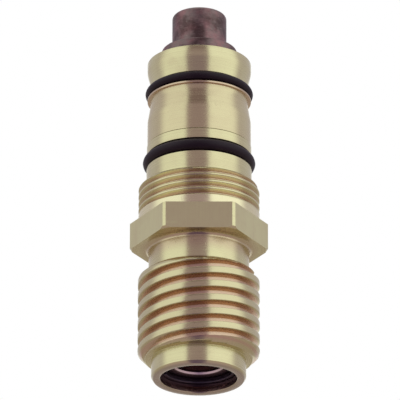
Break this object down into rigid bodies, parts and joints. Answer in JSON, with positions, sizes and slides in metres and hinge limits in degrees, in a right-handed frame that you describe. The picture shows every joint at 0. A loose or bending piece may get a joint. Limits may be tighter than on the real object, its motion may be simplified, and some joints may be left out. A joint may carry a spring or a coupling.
{
  "type": "thermostatic cartridge",
  "caption": "Brass screw-in cartridge for a shower valve: wax element, sliding sleeve, O-rings, hexagon and coarse handle thread.",
  "frame": {"origin": "on the cartridge's axis at the end face that takes the handle", "axes": "+Z along the axis from the handle end to the copper bulb, -Y towards the viewer, +X to the viewer's right"},
  "size_m": [0.0274, 0.024, 0.078],
  "materials": {
    "brass": "bright turned, fine tool marks",
    "copper": "tarnished copper, scuffed",
    "steel": "plain stainless",
    "rubber": "black, lightly greased",
    "wax": "wax with copper powder",
    "ptfe": "plain white"
  },
  "bodies": {
    "valve_body": {"body": "brass", "body_o_ring": "rubber", "mouth_clip": "steel", "seat_clip": "steel", "spring_seat_ring": "brass", "return_spring": "steel"},
    "setting_plunger": {"plunger": "brass", "plunger_o_ring": "rubber", "overload_spring": "steel", "stop_washer": "steel", "plunger_clip": "steel"},
    "thrust_pin": {"thrust_cup": "brass", "element_pin": "steel"},
    "slide": {"slide_sleeve": "brass", "slide_o_ring": "rubber", "element_capsule": "copper", "element_guide": "brass", "diaphragm": "rubber", "wax_charge": "wax", "rubber_plug": "rubber", "backing_disc": "ptfe", "stem_clip": "steel", "spring_plate": "brass", "element_nut": "brass"}
  },
  "joints": [
    {"name": "setting_travel", "type": "slide", "parent": "valve_body", "child": "setting_plunger", "axis": [0, 0, 1], "range_m": [0, 0.0045]},
    {"name": "overload_travel", "type": "slide", "parent": "setting_plunger", "child": "thrust_pin", "axis": [0, 0, 1], "range_m": [-0.003, 0], "stiffness_N_per_m": 4000, "springref_m": 0.0005, "deforming": ["overload_spring"]},
    {"name": "slide_travel", "type": "slide", "parent": "valve_body", "child": "slide", "axis": [0, 0, 1], "range_m": [0, 0.0016], "stiffness_N_per_m": 2000, "springref_m": -0.003, "deforming": ["return_spring"]}
  ]
}
